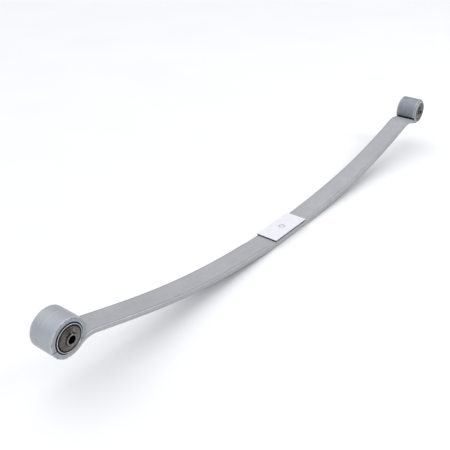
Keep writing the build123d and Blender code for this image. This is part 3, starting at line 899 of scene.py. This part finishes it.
def end_cap(name, rim, y0, hub_y, centre, side, body, node, material):
    """Pressed cap: short collar on the sleeve, dished cone, rolled rim."""
    def tone(r, y, a):
        """Thin uneven film over the whole plate, with no placed patches."""
        u, v = r * math.cos(math.radians(a)), r * math.sin(math.radians(a))
        t = 0.42 + 0.20 * noise.noise(Vector((u * 0.07, v * 0.07, centre[0])))
        t += 0.10 * noise.noise(Vector((u * 0.25, v * 0.25, centre[0])))
        return min(1.0, max(0.0, t))

    lip = 1.2
    prof = [(12.5, y0 + 2.4, 0.15), (12.5, hub_y, 0.3), (13.6, hub_y, 0.5), (14.5, hub_y - 0.9, 0.9),
            (rim - 6.0, y0 + 2.5, 2.2), (rim - 2.9, y0 + 1.15, 0.8), (rim - 1.7, y0 + 1.0, 0.3),
            (rim - 1.05, y0 + lip, 0.3), (rim - 0.25, y0 + lip, 0.3), (rim, y0 + 0.9, 0.3),
            (rim - 1.4, y0 + 0.15, 0.5), (rim - 4.0, y0 + 0.1, 0.6), (14.8, y0 + 1.9, 0.6)]
    pts = fillet([(r, side * y, f) for r, y, f in prof], seg=4)
    # mark: the back of the cap, the collar round the hub and the groove inside the rim darkened: painted shade
    return lathe_y(name, centre, pts, node, body, material, segs=160, wobble=0.05,
                   seed=centre[0] * 0.01 + side, longest=1.6,
                   mark=lambda r, y: 0.75 if abs(y) < y0 + 0.5 else (0.70 if r < 14.0 else (
                       0.30 if rim - 3.2 < r < rim - 1.8 else 0.0)),
                   tone=tone)


fe, re_ = FRONT_EYE, REAR_EYE
# mark: the sleeve's walls down in the groove and towards the rubber near black, painted shade
lathe_y("front_outer_sleeve_mesh", fe, fillet(mirror_y([
    (27.4, 30.2, 0.3), (27.9, 30.9, 0.25), (28.5, 30.9, 0.25), (29.0, 30.3, 0.3), (29.0, 27.0, 0.8),
    (31.2, 25.4, 0.4)]), seg=4), "front_bush_outer_sleeve", "leaf", sleeve_steel,
    mark=lambda r, y: 0.95 if (abs(y) < 30.2 and r > 28.7) or (abs(y) < 30.1 and r < 27.6) else 0.0, wobble=0.04,
    seed=1.0)
lathe_y("front_rubber_mesh", fe, fillet(mirror_y([
    (12.55, 29.0, 0.3), (15.0, 29.5, 0.4), (22.6, 29.5, 0.4), (23.6, 29.5, 0.5), (24.4, 30.0, 0.5), (25.4, 30.5, 0.6),
    (26.6, 30.5, 0.5), (27.4, 29.9, 0.3)]), seg=4), "front_bush_rubber", "leaf", bush_rubber,
    wobble=0.08, seed=2.0)
inner_sleeve("front_inner_sleeve_mesh", 37.0, fe, "front_pivot", "front_bush_inner_sleeve", hub_front)
end_cap("front_left_cap_mesh", 24.1, 30.0, 34.9, fe, -1, "front_pivot", "front_bush_left_cap", cap_front)
end_cap("front_right_cap_mesh", 24.1, 30.0, 34.9, fe, 1, "front_pivot", "front_bush_right_cap", cap_front)

lathe_y("rear_outer_sleeve_mesh", re_, fillet(mirror_y([
    (26.0, 28.55, 0.15), (27.7, 28.55, 0.3), (28.5, 27.7, 0.3)]), seg=4), "rear_bush_outer_sleeve", "leaf",
    rear_sleeve_steel, wobble=0.0, seed=3.0)
lathe_y("rear_rubber_mesh", re_, fillet(mirror_y([
    (12.55, 30.0, 0.3), (15.0, 30.7, 0.5), (23.2, 30.7, 0.3), (24.0, 31.4, 0.5), (25.8, 33.7, 1.0),
    (31.0, 34.4, 1.6), (33.9, 33.7, 1.4), (35.0, 32.0, 1.2), (34.8, 30.0, 0.5), (34.2, 29.3, 0.1),
    (28.5, 29.3, 0.1), (27.7, 28.6, 0.1), (26.0, 28.6, 0.1)]), seg=4), "rear_bush_rubber", "leaf",
    collar_rubber, wobble=0.0, seed=4.0,
    mark=lambda r, y: 0.0 if r < 25.0 else (1.0 if r > 32.0 else 0.45))
inner_sleeve("rear_inner_sleeve_mesh", 37.5, re_, "rear_pivot", "rear_bush_inner_sleeve", hub_rear)
end_cap("rear_left_cap_mesh", 23.1, 31.2, 35.6, re_, -1, "rear_pivot", "rear_bush_left_cap", cap_rear)
end_cap("rear_right_cap_mesh", 23.1, 31.2, 35.6, re_, 1, "rear_pivot", "rear_bush_right_cap", cap_rear)


# ============================================================ floor, light, camera
floor_z = float(cad_lo.z) - 0.0002
me = bpy.data.meshes.new("floor")
me.from_pydata([(-30, -30, floor_z), (30, -30, floor_z), (30, 30, floor_z), (-30, 30, floor_z)], [], [(0, 1, 2, 3)])
floor = bpy.data.objects.new("floor", me)
bpy.context.scene.collection.objects.link(floor)
fm = Nodes("floor_paper")
fm.finish(fm.ramp(fm.noise(3.0, 2.0, 0.5), [(0.3, (0.885, 0.885, 0.890)), (0.7, (0.905, 0.905, 0.910))]),
          fm.span(fm.noise(40.0, 2.0, 0.5), 0.3, 0.7, 0.62, 0.72))
fm.set("Specular IOR Level", 0.2)
me.materials.append(fm.mat)

world = bpy.data.worlds.new("studio")
bpy.context.scene.world = world
world.use_nodes = True
wt = world.node_tree
wback = wt.nodes["Background"]
wcoord = wt.nodes.new("ShaderNodeTexCoord")


def toward(vec, lo, hi, a, b):
    """Smooth light level by the angle to a direction of the room."""
    d = wt.nodes.new("ShaderNodeVectorMath")
    d.operation = "DOT_PRODUCT"
    d.inputs[1].default_value = Vector(vec).normalized()
    wt.links.new(wcoord.outputs["Generated"], d.inputs[0])
    r = wt.nodes.new("ShaderNodeMapRange")
    r.interpolation_type = "SMOOTHSTEP"
    for key, v in (("From Min", lo), ("From Max", hi), ("To Min", a), ("To Max", b)):
        r.inputs[key].default_value = v
    wt.links.new(d.outputs["Value"], r.inputs["Value"])
    return r.outputs["Result"]


up = toward((-0.25, 0.15, 1.0), -0.1, 0.95, 0.47, 0.72)      # ceiling brighter than the walls
dim_side = toward((0.30, -1.0, -0.05), 0.50, 0.97, 1.0, 0.50)   # dark side of the room
level = wt.nodes.new("ShaderNodeMath")
level.operation = "MULTIPLY"
wt.links.new(up, level.inputs[0])
wt.links.new(dim_side, level.inputs[1])
wback.inputs["Color"].default_value = (0.93, 0.965, 1.0, 1)
wt.links.new(level.outputs["Value"], wback.inputs["Strength"])


def area(name, loc, target, size, watts, color=(1, 1, 1)):
    light = bpy.data.lights.new(name, "AREA")
    light.shape = "RECTANGLE"
    light.size, light.size_y = size
    light.energy = watts
    light.color = color
    ob = bpy.data.objects.new(name, light)
    bpy.context.scene.collection.objects.link(ob)
    ob.location = loc
    ob.rotation_mode = "QUATERNION"
    ob.rotation_quaternion = (Vector(target) - Vector(loc)).to_track_quat("-Z", "Y")
    return ob


area("softbox_left", (-2.7, -1.50, 1.42), (-0.6, 0, 0.05), (0.7, 0.6), 9, (0.93, 0.965, 1.0))
area("softbox_front", (1.45, -1.85, 1.95), (0.1, 0, 0.05), (1.1, 0.8), 18, (1.0, 0.99, 0.985))
sun = bpy.data.lights.new("ceiling", "SUN")
sun.energy = 1.42
sun.angle = math.radians(78)
sun.color = (1.0, 0.995, 0.985)
sun_ob = bpy.data.objects.new("ceiling", sun)
bpy.context.scene.collection.objects.link(sun_ob)
sun_ob.rotation_mode = "QUATERNION"
sun_ob.rotation_quaternion = Vector((0.04, -0.30, -1.0)).to_track_quat("-Z", "Y")

cam = bpy.data.cameras.new("camera")
cam.sensor_width = 36.0
cam.sensor_fit = "HORIZONTAL"
cam.lens = 668.8729525438599 / 450 * 36.0
cam.shift_x, cam.shift_y = -0.5 / 450, 0.5 / 450
cam.clip_start, cam.clip_end = 0.05, 100
cam_ob = bpy.data.objects.new("camera", cam)
bpy.context.scene.collection.objects.link(cam_ob)
R = ((0.6054415904645729, -0.7958506741771187, 0.007885743310183158),
     (-0.3925103895327367, -0.3071914320485106, -0.8669308035736443),
     (0.6923698972692183, 0.5217807283599223, -0.49836612732769214))
M = Matrix.Identity(4)
for i in range(3):
    M[i][0], M[i][1], M[i][2] = R[0][i], -R[1][i], -R[2][i]
M[0][3], M[1][3], M[2][3] = -1.31743, -0.80574, 0.88391
cam_ob.matrix_world = M
bpy.context.scene.camera = cam_ob

bpy.context.scene.view_settings.view_transform = "Standard"
bpy.context.scene.view_settings.look = "None"
bpy.context.scene.view_settings.exposure = 0.0
bpy.context.scene.view_settings.gamma = 1.0
